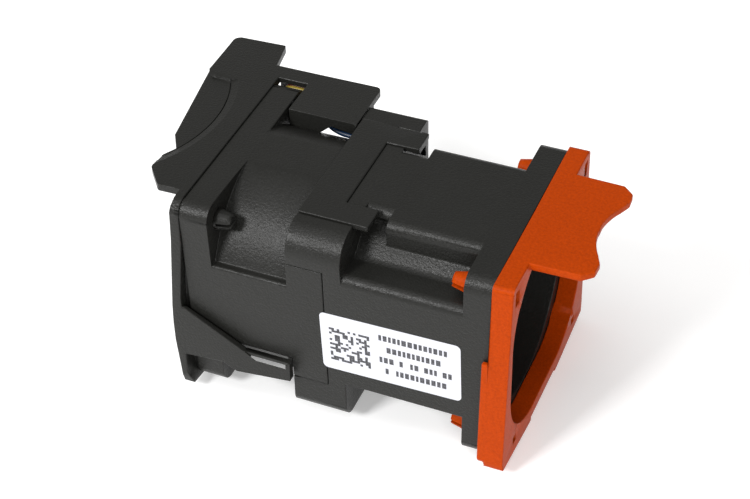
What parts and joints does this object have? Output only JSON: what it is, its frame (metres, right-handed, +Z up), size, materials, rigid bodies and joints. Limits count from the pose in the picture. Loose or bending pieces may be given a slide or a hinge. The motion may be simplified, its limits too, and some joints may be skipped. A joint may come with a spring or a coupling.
{
  "type": "server fan module",
  "caption": "Hot-swap cooling module for a rack server: counter-rotating axial fans in line, clipped between end brackets with pull tabs.",
  "frame": {"origin": "centre of the mid block's flat underside, below the airflow axis", "axes": "+X along the airflow axis towards the intake bracket, +Z up to the pull tabs, +Y towards the connector housing"},
  "size_m": [0.0834, 0.0523, 0.0421],
  "materials": {
    "black_plastic": "fine-grained glass-filled black plastic",
    "orange_plastic": "satin orange plastic",
    "impeller_plastic": "smooth black plastic",
    "brass": "turned brass",
    "board": "green solder mask",
    "lamination": "stacked electrical steel",
    "copper_wire": "enamelled copper wire",
    "bearing_steel": "ground steel",
    "magnet": "bonded ferrite",
    "steel_cup": "drawn steel",
    "lead_red": "plastic-insulated wire",
    "lead_black": "plastic-insulated wire",
    "lead_yellow": "plastic-insulated wire",
    "lead_blue": "plastic-insulated wire",
    "contact_gold": "gold-plated contacts"
  },
  "bodies": {
    "housing": {"connector_contacts": "contact_gold", "connector_housing": "black_plastic", "exhaust_bearing_tube": "brass", "exhaust_bracket": "black_plastic", "exhaust_circuit_board": "board", "exhaust_fan_frame": "black_plastic", "exhaust_lead_black": "lead_black", "exhaust_lead_blue": "lead_blue", "exhaust_lead_red": "lead_red", "exhaust_lead_yellow": "lead_yellow", "exhaust_outer_races": "bearing_steel", "exhaust_stator_core": "lamination", "exhaust_windings": "copper_wire", "intake_bearing_tube": "brass", "intake_bracket": "orange_plastic", "intake_circuit_board": "board", "intake_fan_frame": "black_plastic", "intake_lead_black": "lead_black", "intake_lead_blue": "lead_blue", "intake_lead_red": "lead_red", "intake_lead_yellow": "lead_yellow", "intake_outer_races": "bearing_steel", "intake_stator_core": "lamination", "intake_windings": "copper_wire"},
    "intake_rotor": {"intake_impeller": "impeller_plastic", "intake_rotor_cup": "steel_cup", "intake_magnet_ring": "magnet", "intake_shaft": "bearing_steel", "intake_inner_races": "bearing_steel", "intake_retaining_ring": "black_plastic", "intake_preload_washer": "bearing_steel"},
    "exhaust_rotor": {"exhaust_impeller": "impeller_plastic", "exhaust_rotor_cup": "steel_cup", "exhaust_magnet_ring": "magnet", "exhaust_shaft": "bearing_steel", "exhaust_inner_races": "bearing_steel", "exhaust_retaining_ring": "black_plastic", "exhaust_preload_washer": "bearing_steel"}
  },
  "joints": [
    {"name": "intake_impeller_spin", "type": "hinge", "parent": "housing", "child": "intake_rotor", "pos_m": [-0.0015, 0, 0.02], "axis": [1, 0, 0], "continuous": true},
    {"name": "exhaust_impeller_spin", "type": "hinge", "parent": "housing", "child": "exhaust_rotor", "pos_m": [-0.0243, 0, 0.02], "axis": [1, 0, 0], "continuous": true}
  ]
}
